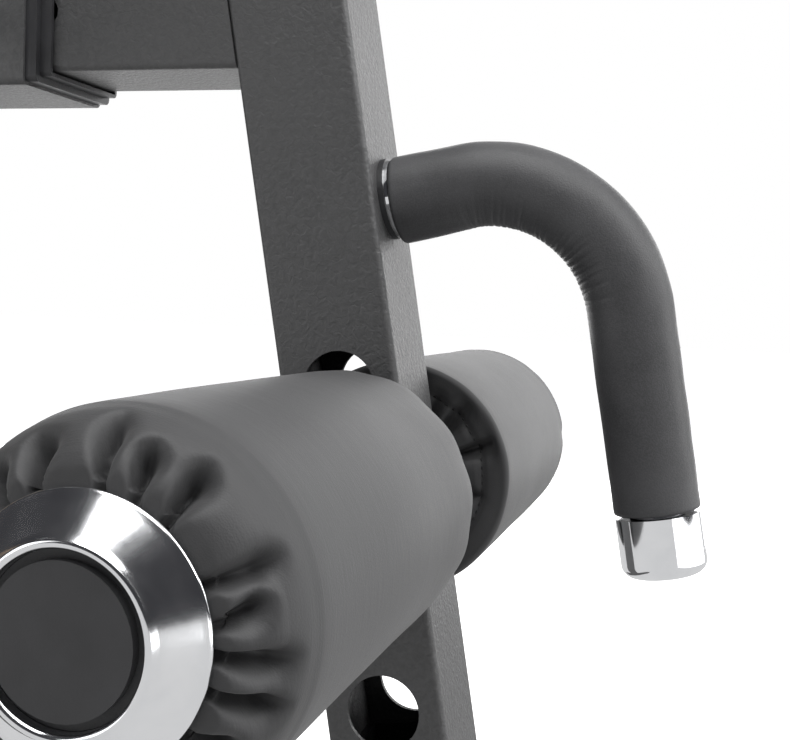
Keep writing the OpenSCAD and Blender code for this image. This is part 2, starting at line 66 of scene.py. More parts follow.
class Shader:
    """A node material under construction. Inputs given as sockets are linked, others are set."""

    def __init__(self, name, base, roughness, metallic=0.0, **settings):
        self.material = bpy.data.materials.new(name)
        self.material.use_nodes = True
        self.tree = self.material.node_tree
        self.bsdf = self.tree.nodes["Principled BSDF"]
        self.set(self.bsdf, "Base Color", (*base, 1))
        self.set(self.bsdf, "Roughness", roughness)
        self.set(self.bsdf, "Metallic", metallic)
        for key, value in settings.items():
            self.set(self.bsdf, key.replace("_", " "), value)
        self.coords = self.tree.nodes.new("ShaderNodeTexCoord")

    def set(self, node, socket, value):
        if isinstance(value, bpy.types.NodeSocket):
            self.tree.links.new(value, node.inputs[socket])
        else:
            node.inputs[socket].default_value = value

    def node(self, kind, inputs=(), **props):
        made = self.tree.nodes.new(kind)
        for key, value in props.items():
            setattr(made, key, value)
        for socket, value in dict(inputs).items():
            self.set(made, socket, value)
        return made

    def place(self, scale=(1, 1, 1)):
        """The object's own coordinates in metres, stretched by scale."""
        inputs = {"Vector": self.coords.outputs["Object"], "Scale": scale}
        return self.node("ShaderNodeMapping", inputs).outputs[0]

    def noise(self, where, scale, detail=3.0, rough=0.5, distortion=0.0):
        inputs = {"Vector": where, "Scale": scale, "Detail": detail, "Roughness": rough,
                  "Distortion": distortion}
        return self.node("ShaderNodeTexNoise", inputs).outputs["Fac"]

    def cells(self, where, scale):
        inputs = {"Vector": where, "Scale": scale}
        return self.node("ShaderNodeTexVoronoi", inputs).outputs["Distance"]

    def remap(self, value, low, high, to_low, to_high):
        inputs = {"Value": value, "From Min": low, "From Max": high,
                  "To Min": to_low, "To Max": to_high}
        return self.node("ShaderNodeMapRange", inputs).outputs["Result"]

    def math(self, operation, a, b):
        return self.node("ShaderNodeMath", {0: a, 1: b}, operation=operation).outputs[0]

    def blend_colour(self, factor, a, b):
        made = self.node("ShaderNodeMix", data_type="RGBA")
        self.set(made, "Factor", factor)
        for socket, value in ((6, a), (7, b)):
            self.set(made, socket, value if isinstance(value, bpy.types.NodeSocket) else (*value, 1))
        return made.outputs[2]

    def bump(self, height, strength, distance, below=None):
        inputs = {"Height": height, "Strength": strength, "Distance": distance}
        if below is not None:
            inputs["Normal"] = below
        return self.node("ShaderNodeBump", inputs).outputs["Normal"]

    def colour(self, value):
        self.set(self.bsdf, "Base Color", value)

    def roughness(self, value):
        self.set(self.bsdf, "Roughness", value)

    def normal(self, value):
        self.set(self.bsdf, "Normal", value)


def shade(base, factor):
    return tuple(c * factor for c in base)


def powder_coat():
    base = (0.046, 0.046, 0.047)
    s = Shader("powder_coat", base, 0.5, Specular_IOR_Level=0.75)
    where = s.place()
    lumps = s.noise(where, 330, 1.5, 0.5, 0.8)
    fine = s.noise(where, 950, 2.0, 0.5)
    cloud = s.noise(where, 9, 3.0)
    height = s.math("ADD", lumps, s.math("MULTIPLY", fine, 0.25))
    s.normal(s.bump(height, 0.75, 0.0006))
    tone = s.blend_colour(s.remap(cloud, 0.3, 0.7, 0, 1), shade(base, 0.85), shade(base, 1.15))
    s.colour(s.blend_colour(s.remap(lumps, 0.35, 0.65, 0, 1), tone, shade(base, 1.25)))
    s.roughness(s.remap(fine, 0.3, 0.7, 0.42, 0.58))
    return s.material


def leatherette(name, streak_scale):
    """Fine-grained leatherette; streak_scale is how fine its satin marks are along X, Y and Z."""
    base = (0.033, 0.033, 0.0342)
    s = Shader(name, base, 0.58, Specular_IOR_Level=0.5, Sheen_Weight=0.1, Sheen_Roughness=0.5)
    grain = s.place()
    streaks = s.noise(s.place(streak_scale), 1.0, 3.0, 0.6)
    pebbles = s.cells(grain, 1500)
    cloud = s.noise(grain, 22, 3.0, 0.55)
    below = s.bump(pebbles, 0.2, 0.0002)
    s.normal(s.bump(streaks, 0.2, 0.0003, below))
    tone = s.blend_colour(s.remap(cloud, 0.3, 0.7, 0, 1), shade(base, 0.85), shade(base, 1.15))
    s.colour(s.blend_colour(s.remap(streaks, 0.35, 0.65, 0, 0.6), tone, shade(base, 1.5)))
    s.roughness(s.remap(streaks, 0.3, 0.7, 0.52, 0.66))
    return s.material


def grip_foam():
    base = (0.047, 0.047, 0.049)
    s = Shader("grip_foam", base, 0.5, Specular_IOR_Level=0.4, Sheen_Weight=0.03, Sheen_Roughness=0.5)
    where = s.place()
    pores = s.noise(where, 1400, 2.5, 0.6)
    scuffs = s.noise(where, 260, 4.0, 0.7, 0.6)
    cloud = s.noise(where, 30, 3.0, 0.6)
    below = s.bump(pores, 0.35, 0.0003)
    s.normal(s.bump(scuffs, 0.25, 0.0004, below))
    tone = s.blend_colour(s.remap(cloud, 0.3, 0.7, 0, 1), shade(base, 0.8), shade(base, 1.25))
    s.colour(s.blend_colour(s.remap(pores, 0.4, 0.65, 0, 0.5), tone, shade(base, 1.6)))
    s.roughness(s.remap(cloud, 0.3, 0.7, 0.4, 0.54))
    return s.material


def chrome(name="chrome", low=0.035, high=0.1):
    s = Shader(name, (0.86, 0.87, 0.89), low, 1.0)
    where = s.place()
    smear = s.noise(where, 55, 4.0, 0.6, 0.5)
    scratch = s.noise(s.place((900, 900, 60)), 1.0, 2.0)
    s.colour(s.blend_colour(s.remap(smear, 0.3, 0.7, 0, 1), (0.82, 0.83, 0.85), (0.9, 0.905, 0.92)))
    s.roughness(s.remap(smear, 0.35, 0.75, low, high))
    s.normal(s.bump(scratch, 0.04, 0.0001))
    return s.material


def zinc():
    s = Shader("zinc_steel", (0.55, 0.56, 0.58), 0.3, 1.0)
    where = s.place()
    spangle = s.cells(where, 260)
    turned = s.noise(s.place((60, 1800, 60)), 1.0, 2.0)
    s.colour(s.blend_colour(s.remap(spangle, 0.0, 0.6, 0, 1), (0.5, 0.5, 0.52), (0.64, 0.65, 0.66)))
    s.roughness(s.remap(spangle, 0.0, 0.7, 0.22, 0.38))
    s.normal(s.bump(turned, 0.15, 0.0001))
    return s.material


def moulded_plastic(name="black_plastic", base=(0.022, 0.022, 0.024), rough=0.42, relief=0.35):
    s = Shader(name, base, rough, Specular_IOR_Level=0.5)
    where = s.place()
    grain = s.cells(where, 1100)
    cloud = s.noise(where, 40, 3.0)
    s.normal(s.bump(grain, relief, 0.0002))
    s.colour(s.blend_colour(s.remap(cloud, 0.3, 0.7, 0, 1), shade(base, 0.8), shade(base, 1.3)))
    s.roughness(s.remap(cloud, 0.3, 0.7, rough - 0.07, rough + 0.08))
    return s.material


def moulded_rubber():
    base = (0.03, 0.03, 0.03)
    s = Shader("moulded_rubber", base, 0.7)
    where = s.place()
    dust = s.noise(where, 35, 5.0, 0.65)
    grain = s.noise(where, 1200, 2.0)
    s.normal(s.bump(grain, 0.4, 0.0002))
    s.colour(s.blend_colour(s.remap(dust, 0.5, 0.75, 0, 0.6), base, (0.09, 0.088, 0.085)))
    s.roughness(s.remap(dust, 0.3, 0.7, 0.6, 0.85))
    return s.material


def plywood():
    s = Shader("plywood", (0.5, 0.36, 0.22), 0.6)
    layers = {"Vector": s.place(), "Scale": 105, "Distortion": 0.3, "Detail": 1.0}
    plies = s.node("ShaderNodeTexWave", layers, bands_direction="Z").outputs["Fac"]
    grain = s.noise(s.place((6, 160, 60)), 1.0, 5.0, 0.6, 0.6)
    light, dark = (0.6, 0.45, 0.29), (0.33, 0.22, 0.13)
    face = s.blend_colour(s.remap(grain, 0.3, 0.7, 0, 1), dark, light)
    s.colour(s.blend_colour(s.math("MULTIPLY", plies, 0.35), face, dark))
    s.roughness(s.remap(grain, 0.3, 0.7, 0.5, 0.75))
    s.normal(s.bump(grain, 0.3, 0.0003))
    return s.material


def thread():
    base = (0.012, 0.012, 0.013)
    s = Shader("thread", base, 0.6, Sheen_Weight=0.1)
    twist = s.noise(s.place(), 2500, 2.0)
    s.normal(s.bump(twist, 0.5, 0.0002))
    s.colour(s.blend_colour(s.remap(twist, 0.3, 0.7, 0, 1), shade(base, 0.6), shade(base, 1.5)))
    return s.material


KNOB_LEN = 32.3 * MM


def plunger_finish(node):
    """A black plastic knob on a bright steel rod; the rod starts one knob length from the outer end."""
    black = (0.02, 0.02, 0.021)
    s = Shader(node + "_finish", black, 0.3)
    along = s.node("ShaderNodeSeparateXYZ", {"Vector": s.coords.outputs["Object"]}).outputs["Y"]
    rod = s.math("GREATER_THAN", along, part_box(node)[0].y + KNOB_LEN)
    grain = s.cells(s.place(), 900)
    s.colour(s.blend_colour(rod, black, (0.56, 0.57, 0.58)))
    s.set(s.bsdf, "Metallic", rod)
    s.roughness(s.remap(grain, 0.0, 0.7, 0.24, 0.36))
    s.normal(s.bump(grain, 0.12, 0.0001))
    return s.material


GLOW_NEAR = 1.0
GLOW_FAR = 2.6


def pale_ground():
    """Pale floor that turns to the white of the background with distance."""
    s = Shader("pale_ground", (0.86, 0.86, 0.86), 0.85, Emission_Strength=1.0)
    where = s.place()
    cloud = s.noise(where, 1.5, 3.0)
    s.colour(s.blend_colour(s.remap(cloud, 0.3, 0.7, 0, 1), (0.85, 0.85, 0.85), (0.87, 0.87, 0.87)))
    far = s.node("ShaderNodeVectorMath", {0: where}, operation="LENGTH").outputs["Value"]
    glow = s.blend_colour(s.remap(far, GLOW_NEAR, GLOW_FAR, 0, 1), (0.68, 0.68, 0.68), (1.0, 1.0, 1.0))
    s.set(s.bsdf, "Emission Color", glow)
    return s.material


BOUNCE_LEVEL = 0.68


def bounce():
    """A plain glow, for the hidden plane that stands for light off the floor."""
    glow = {"Emission_Color": (1, 1, 1, 1), "Emission_Strength": BOUNCE_LEVEL}
    return Shader("bounce", (0, 0, 0), 1.0, **glow).material


MATERIALS = {
    "frame_paint": powder_coat(),
    "leatherette": leatherette("leatherette", (60, 1500, 60)),
    "grip_foam": grip_foam(),
    "chrome": chrome(),
    "zinc_steel": zinc(),
    "black_plastic": moulded_plastic(),
    "knob_plastic": moulded_plastic("knob_plastic", (0.02, 0.02, 0.021), 0.3, 0.15),
    "wheel_plastic": moulded_plastic("wheel_plastic", (0.03, 0.03, 0.031), 0.5, 0.3),
    "rubber": moulded_rubber(),
    "plywood": plywood(),
    "inner_foam": moulded_plastic("inner_foam", (0.2, 0.2, 0.2), 0.8, 0.6),
}
THREAD = thread()
PAD_LEATHER = leatherette("pad_leatherette", (160, 160, 160))
TURNED_CHROME = chrome("turned_chrome", 0.13, 0.2)
DISC_PLASTIC = moulded_plastic("disc_plastic", (0.034, 0.034, 0.036), 0.5, 0.25)


def paint_cad_nodes():
    slots = {p["node"]: p["material_slot"] for p in frame["record"]["subparts"]}
    for name, piece in frame["nodes"].items():
        piece.data.materials.clear()
        piece.data.materials.append(MATERIALS[slots[name]])
    for name in ("boom_pin", "decline_pin"):
        frame["nodes"][name].data.materials[0] = plunger_finish(name)
    for name in ("ankle_cap_plugs", "knee_cap_plugs"):
        frame["nodes"][name].data.materials[0] = DISC_PLASTIC


# ---------------------------------------------------------------- mesh helpers


def make_piece(name, points, faces, material):
    mesh = bpy.data.meshes.new(name)
    mesh.from_pydata([tuple(p) for p in points], [], faces)
    mesh.update()
    mesh.materials.append(material)
    mesh.shade_smooth()
    piece = bpy.data.objects.new(name, mesh)
    bpy.context.scene.collection.objects.link(piece)
    return piece


def ring_faces(rings, around, close=True):
    """Quads of a tube of rings with the same number of points each.
    close joins the last ring to the first."""
    faces = []
    for i in range(rings if close else rings - 1):
        a, b = i * around, (i + 1) % rings * around
        for k in range(around):
            n = (k + 1) % around
            faces.append((a + k, a + n, b + n, b + k))
    return faces


def smooth_step(low, high, x):
    t = np.clip((x - low) / (high - low), 0, 1)
    return t * t * (3 - 2 * t)


def angle_gap(a, b):
    """Signed difference of two angles, from -pi to pi."""
    return (a - b + math.pi) % (2 * math.pi) - math.pi


def wobble(points, scale, amount, seed):
    """A smooth random value for each point, between about -amount and amount."""
    shift = Vector((seed * 3.1, seed * 1.7, seed * 0.9))
    return np.array([noise.noise(Vector(p) * scale + shift) for p in points]) * amount


# ---------------------------------------------------------------- upholstered rollers

ROLLER_AROUND = 288
COVER_T = 1.6 * MM
INSIDE_EVERY = 3
HUB_R = 21 * MM
FACE_INSET = 0.4 * MM
RIM_R = 3.5 * MM
FACE_STEPS, RIM_STEPS, BARREL_STEPS, SHOULDER_STEPS, TUCK_STEPS = 22, 7, 26, 30, 5

# the gathered outer end, where t is 0 at the tuck and 1 one OUTER_REACH further in;
# a table by side has -1 for the right roller of an axle and 1 for the left one
SHOULDER_LEN = {-1: 27 * MM, 1: 14 * MM}
SHOULDER_TURN = math.radians(52)
SHOULDER_TOP_R = 43 * MM
TUCK_R = 37 * MM
OUTER_COUNT = 19
OUTER_DEPTH = 12.5 * MM
OUTER_REACH = 28 * MM
PLEAT_START = -0.3
SWELL_HEIGHT = 2.2 * MM
CREASE_DEPTH = 0.5 * MM
CREASE_AT = 1.1
CREASE_WIDTH = 0.14
CREASE_END = 1.7

# the flat inner end, with its seam
INNER_COUNT = 14
INNER_DEPTH = 8.5 * MM
INNER_REACH = 0.74
SEAM_R = 48.4 * MM
SEAM_DEPTH = 1.8 * MM
SEAM_WIDTH = 1.3 * MM
RIM_PULL = {-1: 1.1 * MM, 1: 0.35 * MM}
RIM_PULL_LEN = 16 * MM
RIM_PULL_ANGLE = 0.16

# jitter, smallest gap and half widths are shares of the pleats' mean spacing, the depths are
# shares of their mean depth, and the swirl is in radians
PLEAT_JITTER = 0.2
PLEAT_CLOSEST = 0.62
PLEAT_HALF_WIDTHS = (0.17, 0.25)
PLEAT_DEPTHS = (0.8, 1.2)
PLEAT_SWIRL = 0.06

# soft unevenness of the barrel
LUMP_SCALE = 16
LUMP_HEIGHT = 0.5 * MM
LUMP_SINK = 0.1 * MM

STITCHES = 76
STITCH_R = 1.0 * MM
STITCH_SHAPE = (0.5, 0.45, 1.25)


def roller_profile(radius, y0, y1, shoulder):
    """Outline of the cover, as radius and distance along the axle: from the hub over the inner end
    face, round the rim, along the barrel and down the shoulder to the tuck at the outer end."""
    face_y = y0 + FACE_INSET
    rim = radius - RIM_R
    line = [(HUB_R + (rim - HUB_R) * i / FACE_STEPS, face_y) for i in range(FACE_STEPS + 1)]
    for i in range(1, RIM_STEPS + 1):
        a = math.pi / 2 * i / RIM_STEPS
        line.append((rim + RIM_R * math.sin(a), face_y + RIM_R * (1 - math.cos(a))))
    start, stop = line[-1][1], y1 - shoulder
    line += [(radius, start + (stop - start) * i / BARREL_STEPS) for i in range(1, BARREL_STEPS + 1)]
    drop = radius - SHOULDER_TOP_R
    for i in range(1, SHOULDER_STEPS + 1):
        a = SHOULDER_TURN * i / SHOULDER_STEPS
        line.append((radius - drop * (1 - math.cos(a)) / (1 - math.cos(SHOULDER_TURN)),
                     stop + shoulder * math.sin(a) / math.sin(SHOULDER_TURN)))
    tuck = SHOULDER_TOP_R - TUCK_R
    line += [(SHOULDER_TOP_R - tuck * i / TUCK_STEPS, y1) for i in range(1, TUCK_STEPS + 1)]
    return np.array(line)


def profile_normals(line):
    along = np.gradient(line, axis=0)
    along /= np.linalg.norm(along, axis=1)[:, None]
    return np.stack([along[:, 1], -along[:, 0]], 1)


def folds(rng, count, depth, first=(), smooth=()):
    """Angle, depth, half width and swirl of each pleat; the first angles can be given by hand.
    smooth is a pair of angles, and no other pleat falls between them."""
    step = 2 * math.pi / count
    angles = [math.radians(a) for a in first]
    for k in range(count):
        angle = k * step + rng.uniform(-PLEAT_JITTER, PLEAT_JITTER) * step
        inside = bool(smooth) and smooth[0] < math.degrees(angle_gap(angle, 0)) < smooth[1]
        if not inside and all(abs(angle_gap(angle, a)) > PLEAT_CLOSEST * step for a in angles):
            angles.append(angle)
    return [(a, depth * rng.uniform(*PLEAT_DEPTHS), step * rng.uniform(*PLEAT_HALF_WIDTHS),
             rng.uniform(-PLEAT_SWIRL, PLEAT_SWIRL)) for a in angles]


def fold_relief(theta, pleats, t):
    """Relief of a ring of pleats at the angles theta; t runs from 0 at the gathered edge to 1 where
    they die out. Each pleat is narrow at the edge, widens, and closes again; one side is steeper."""
    relief = np.zeros_like(theta)
    for k, (angle, depth, width, swirl) in enumerate(pleats):
        length = 0.8 + 0.2 * math.cos(2.4 * k)
        u = t / length
        reach = float(smooth_step(-0.65, 0.15, u) * (1 - smooth_step(0.45, 1.0, u)))
        gap = angle_gap(theta, angle + swirl * math.sin(2.2 * u))
        widening = 0.6 * float(smooth_step(-0.1, 0.6, u))
        closing = 0.45 * float(smooth_step(0.65, 1.0, u))
        wide = width * (0.55 + widening - closing)
        side = np.where(gap > 0, 0.7, 1.25)
        relief -= depth * reach * np.exp(-np.abs(gap / (wide * side)) ** 1.7)
    return relief


def outer_relief(theta, pleats, t):
    """Relief of the outer end: its pleats, the swelling between them and a faint crease beyond."""
    relief = fold_relief(theta, pleats, max(t, PLEAT_START))
    relief += SWELL_HEIGHT * smooth_step(PLEAT_START, 0.3, t) * (1 - smooth_step(0.3, 1, t))
    relief -= CREASE_DEPTH * math.exp(-((t - CREASE_AT) / CREASE_WIDTH) ** 2)
    return relief


def inner_relief(theta, pleats, radius, r):
    """Relief of the inner end face at radius r: its pleats and the groove of its seam."""
    t = (r - HUB_R) / (radius - 2 * MM - HUB_R)
    relief = fold_relief(theta, pleats, INNER_REACH * t) * (1 - smooth_step(0.86, 0.98, t))
    relief -= SEAM_DEPTH * math.exp(-((r - SEAM_R) / SEAM_WIDTH) ** 2)
    return relief


def build_cover(name, node, body, axle, side, seed, first=(), bare=(), inner_first=(), smooth=()):
    rng = np.random.default_rng(seed)
    low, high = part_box(node)
    radius = (high.z - low.z) / 2
    y0 = min(abs(low.y), abs(high.y))
    y1 = max(abs(low.y), abs(high.y))
    line = roller_profile(radius, y0, y1, SHOULDER_LEN[side])
    normals = profile_normals(line)
    travelled = np.concatenate([[0], np.cumsum(np.linalg.norm(np.diff(line, axis=0), axis=1))])
    theta = np.arange(ROLLER_AROUND) * 2 * math.pi / ROLLER_AROUND

    outer_pleats = folds(rng, OUTER_COUNT, OUTER_DEPTH, first, bare)
    inner_pleats = folds(rng, INNER_COUNT, INNER_DEPTH, inner_first, smooth)
    outer_end = travelled[-1] - (SHOULDER_TOP_R - TUCK_R)
    relief = np.zeros((len(line), ROLLER_AROUND))
    for i, s in enumerate(travelled):
        r, y = line[i]
        t = (outer_end - s) / OUTER_REACH
        if t < CREASE_END:
            relief[i] += outer_relief(theta, outer_pleats, t)
        if s < radius - HUB_R:
            relief[i] += inner_relief(theta, inner_pleats, radius, r)
        # the seam pulls the rim in at each inner pleat, which leaves it slightly many-sided
        pull = math.exp(-((y - y0) / RIM_PULL_LEN) ** 2) * float(smooth_step(0.6, 0.95, r / radius))
        sides = sum(np.exp(-(angle_gap(theta, p[0]) / RIM_PULL_ANGLE) ** 2) for p in inner_pleats)
        relief[i] -= RIM_PULL[side] * pull * sides

    def place(shift):
        """The outline turned round the axle, raised by the relief and by shift."""
        r = line[:, 0][:, None] + normals[:, 0][:, None] * (relief + shift)
        y = line[:, 1][:, None] + normals[:, 1][:, None] * (relief + shift)
        y = np.maximum(y, y0 + 0.05 * MM)
        y = np.broadcast_to(np.minimum(y, y1), r.shape)
        points = np.stack([r * np.cos(theta), y * side, r * np.sin(theta)], -1)
        return points + np.array([axle.x, 0, axle.z])

    lumps = wobble(place(0.0).reshape(-1, 3), LUMP_SCALE, LUMP_HEIGHT, seed).reshape(relief.shape)
    on_barrel = (line[:, 0] > radius * 0.9)[:, None]
    relief += (lumps - LUMP_SINK) * on_barrel
    kept = list(range(len(line) - 1, -1, -INSIDE_EVERY))
    rings = np.concatenate([place(0.0), place(-COVER_T)[kept]])
    faces = ring_faces(len(rings), ROLLER_AROUND)
    if side < 0:
        faces = [f[::-1] for f in faces]
    cover = make_piece(name, rings.reshape(-1, 3), faces, MATERIALS["leatherette"])
    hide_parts(node, node.replace("cover", "foam"))
    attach(cover, body)
    stitch_ring(name + "_stitches", cover, axle, side, y0, body)


def stitch_ring(name, cover, axle, side, y0, body):
    """A row of stitches round the cover's inner end, laid on its surface."""
    tree = BVHTree.FromObject(cover, bpy.context.evaluated_depsgraph_get())
    mesh = bmesh.new()
    y = side * (y0 - 20 * MM)
    inward = Vector((0, side, 0))
    for k in range(STITCHES):
        a = 2 * math.pi * k / STITCHES
        spot = Vector((axle.x + SEAM_R * math.cos(a), y, axle.z + SEAM_R * math.sin(a)))
        hit = tree.ray_cast(spot, inward)
        if hit[0] is None:
            continue
        turn = Matrix.Rotation(-a, 4, "Y") @ Matrix.Diagonal((*STITCH_SHAPE, 1))
        bmesh.ops.create_uvsphere(mesh, u_segments=8, v_segments=6, radius=STITCH_R,
                                  matrix=Matrix.Translation(hit[0]) @ turn)
    data = bpy.data.meshes.new(name)
    mesh.to_mesh(data)
    mesh.free()
    data.materials.append(THREAD)
    data.shade_smooth()
    piece = bpy.data.objects.new(name, data)
    bpy.context.scene.collection.objects.link(piece)
    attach(piece, body)


# pleats listed in degrees from the foot end of the bench towards the top
PLEATS = {
    "ankle_cover_right": {"first": (85, 70, 54, 25, 10), "bare": (26, 53)},
    "ankle_cover_left": {"inner_first": (84, 65, 45, 25, -11), "smooth": (-80, -12)},
}


def build_rollers():
    seed = 3
    for place, axle in (("ankle", ANKLE), ("knee", KNEE)):
        for word, side in (("right", -1), ("left", 1)):
            name = f"{place}_cover_{word}"
            body = f"{place}_roller_{word}"
            build_cover(name + "_skin", name, body, axle, side, seed, **PLEATS.get(name, {}))
            seed += 1


# ---------------------------------------------------------------- turned end caps

CAP_DEPTH = 12.1 * MM
CAP_AROUND = 192
RECESS_R = 25.4 * MM
CAP_FLOOR = 2.5 * MM
CAP_BORE = 5 * MM
CAP_EDGE_R = 1.2 * MM
CAP_BEAD_R = 1.6 * MM
CONE_STEPS = 8


def arc(centre, radius, start, stop, count=9):
    """Points of an arc in radius and depth; angles in degrees from the radial direction."""
    angles = np.radians(np.linspace(start, stop, count))
    return [(centre[0] + radius * math.cos(a), centre[1] + radius * math.sin(a)) for a in angles]


def build_end_caps(node, axle, body):
    """Both dished caps of an axle, with a rolled outer edge and a bead round the recess."""
    low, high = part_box(node)
    outer = (high.z - low.z) / 2
    back = high.y - CAP_DEPTH
    profile = [(CAP_BORE, 0.0)]
    profile += arc((outer - CAP_EDGE_R, CAP_EDGE_R), CAP_EDGE_R, -90, 68)
    bead = (RECESS_R + CAP_BEAD_R, CAP_DEPTH - CAP_BEAD_R)
    cone_top = arc(bead, CAP_BEAD_R, 25, 180, 12)
    cone_foot = profile[-1]
    profile += [(cone_foot[0] + (cone_top[0][0] - cone_foot[0]) * i / CONE_STEPS,
                 cone_foot[1] + (cone_top[0][1] - cone_foot[1]) * i / CONE_STEPS)
                for i in range(1, CONE_STEPS)]
    profile += cone_top + [(RECESS_R, CAP_FLOOR), (CAP_BORE, CAP_FLOOR)]
    theta = np.arange(CAP_AROUND) * 2 * math.pi / CAP_AROUND
    points, faces = [], []
    for side in (-1, 1):
        base = len(points)
        for r, depth in profile:
            y = side * (back + depth)
            points += [(axle.x + r * math.cos(a), y, axle.z + r * math.sin(a)) for a in theta]
        faces += [tuple(base + k for k in f) for f in ring_faces(len(profile), CAP_AROUND)]
    piece = make_piece(node + "_turned", points, faces, TURNED_CHROME)
    fix_normals(piece)
    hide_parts(node)
    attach(piece, body)


# ---------------------------------------------------------------- foam grip

# the handle's route, as in the CAD: measured in the post's own frame, from the ankle axle
POST_LEAN = math.radians(10.5)
POST_HALF = 30 * MM
STRAIGHT = 39.6 * MM
BEND_R = 70.6 * MM
HANDLE_P = 143 * MM
GRIP_END_P = -25.4 * MM
FLANGE_AND_RING_T = 4.6 * MM
TUBE_R = 13.05 * MM

BEND_Q = POST_HALF + STRAIGHT
LEAD_LEN = BEND_Q - (POST_HALF + FLANGE_AND_RING_T)
BEND_LEN = BEND_R * math.pi / 2
GRIP_LEN = LEAD_LEN + BEND_LEN + (HANDLE_P - BEND_R - GRIP_END_P)

GRIP_AROUND = 128
GRIP_STEP = 0.8 * MM
BORE_RINGS = 90
GRIP_EDGE_R = 2.2 * MM
START_BULGE = 2.8 * MM
BULGE_LEN = 52 * MM
CREASE_RUN_OUT = 12 * MM
CREASE_HEIGHT = 0.85 * MM
SKIN_SCALE = 60
SKIN_HEIGHT = 0.3 * MM


def post_frame():
    """Turns the post's own frame (across, along Y, up the post) into the object's."""
    return Matrix.Translation(ANKLE) @ Matrix.Rotation(-POST_LEAN, 4, "Y")


def grip_path(s):
    """Centre point at distance s along the grip, and the direction away from the bend's centre."""
    if s < LEAD_LEN:
        return (POST_HALF + FLANGE_AND_RING_T + s, HANDLE_P), (0.0, 1.0)
    s -= LEAD_LEN
    if s < BEND_LEN:
        a = s / BEND_R
        centre = (BEND_Q + BEND_R * math.sin(a), HANDLE_P - BEND_R + BEND_R * math.cos(a))
        return centre, (math.sin(a), math.cos(a))
    s -= BEND_LEN
    return (BEND_Q + BEND_R, HANDLE_P - BEND_R - s), (1.0, 0.0)


def grip_ring(s, theta, radius):
    """Points of the ring at distance s; an angle of 0 points away from the bend's centre."""
    (q, p), (dq, dp) = grip_path(s)
    out = radius * np.cos(theta)
    return np.stack([q + out * dq, radius * np.sin(theta), p + out * dp], -1)


def bend_creases(rng):
    """Place, strength, lean, slip and width of each crease on the inside of the bend."""
    creases = []
    spot = LEAD_LEN - CREASE_RUN_OUT
    while spot < LEAD_LEN + BEND_LEN + CREASE_RUN_OUT:
        along = (spot - LEAD_LEN) / BEND_LEN
        strength = float(smooth_step(-0.12, 0.2, along) * (1 - smooth_step(0.8, 1.12, along)))
        creases.append((spot, strength * rng.uniform(0.35, 1.0), rng.uniform(-0.3, 0.3),
                        rng.uniform(-5, 5) * MM, rng.uniform(0.5, 0.9) * MM))
        spot += rng.uniform(2.2, 4.6) * MM
    return creases


def grip_relief(s, theta, creases):
    """Relief of the foam at distance s: creases inside the bend, a bulge at the start, rounded ends."""
    inside = np.clip(-np.cos(theta), 0, 1)
    relief = np.zeros(GRIP_AROUND)
    for at, strength, lean, slip, width in creases:
        if abs(s - at) < CREASE_RUN_OUT:
            here = s - at - slip * np.sin(theta) * 0.6
            reach = np.clip(inside - 0.12 + 0.2 * lean * np.sin(theta), 0, 1) ** 1.1
            relief -= CREASE_HEIGHT * strength * reach * np.exp(-np.abs(here / width) ** 1.3)
    relief += START_BULGE * np.clip(-np.cos(theta), -0.15, 1) * (1 - smooth_step(0, BULGE_LEN, s))
    from_end = min(s, GRIP_LEN - s)
    if from_end < GRIP_EDGE_R:
        relief -= GRIP_EDGE_R - math.sqrt(max(GRIP_EDGE_R ** 2 - (GRIP_EDGE_R - from_end) ** 2, 0))
    return relief


def build_grip():
    creases = bend_creases(np.random.default_rng(11))
    flange_low, flange_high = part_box("handle_flange")
    radius = (flange_high.y - flange_low.y) / 2
    theta = np.arange(GRIP_AROUND) * 2 * math.pi / GRIP_AROUND
    stations = np.linspace(0, GRIP_LEN, int(GRIP_LEN / GRIP_STEP))
    bore = np.linspace(GRIP_LEN, 0, BORE_RINGS)
    rings = [grip_ring(s, theta, radius + grip_relief(s, theta, creases)) for s in stations]
    rings += [grip_ring(s, theta, TUBE_R) for s in bore]
    points = np.array(rings).reshape(-1, 3)

    # a slightly uneven skin on the outside, raised along the direction away from the centre line
    centres = np.repeat([grip_path(s)[0] for s in stations], GRIP_AROUND, axis=0)
    skin = points[:len(centres)]
    out = skin - np.stack([centres[:, 0], np.zeros(len(centres)), centres[:, 1]], -1)
    out /= np.linalg.norm(out, axis=1)[:, None]
    skin += out * (wobble(skin, SKIN_SCALE, SKIN_HEIGHT, 5) + SKIN_HEIGHT)[:, None]

    turn = np.array(post_frame())
    points = points @ turn[:3, :3].T + turn[:3, 3]
    faces = ring_faces(len(rings), GRIP_AROUND)
    grip = make_piece("handle_grip_foam", points, faces, MATERIALS["grip_foam"])
    fix_normals(grip)
    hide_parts("handle_grip")
    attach(grip, "boom_carriage")


def fix_normals(piece):
    mesh = bmesh.new()
    mesh.from_mesh(piece.data)
    bmesh.ops.recalc_face_normals(mesh, faces=mesh.faces)
    mesh.to_mesh(piece.data)
    mesh.free()


# ---------------------------------------------------------------- pad cushion

CUSHION_CAP = 7 * MM
SIDE_ROOM = 5 * MM
TOP_ROOM = 7 * MM
BOTTOM_ROOM = 0.5 * MM
EDGE_R = 16 * MM
EDGE_STEPS = 5
CORNER_R = 40 * MM
VOXEL = 6 * MM
HELD_HEIGHT = 8 * MM
CLOTH_FRAMES = 20
RELAX_PASSES = 14
PIPING_R = 2.1 * MM
PIPING_LIFT = 0.6 * MM
PIPING_STEP = 12 * MM


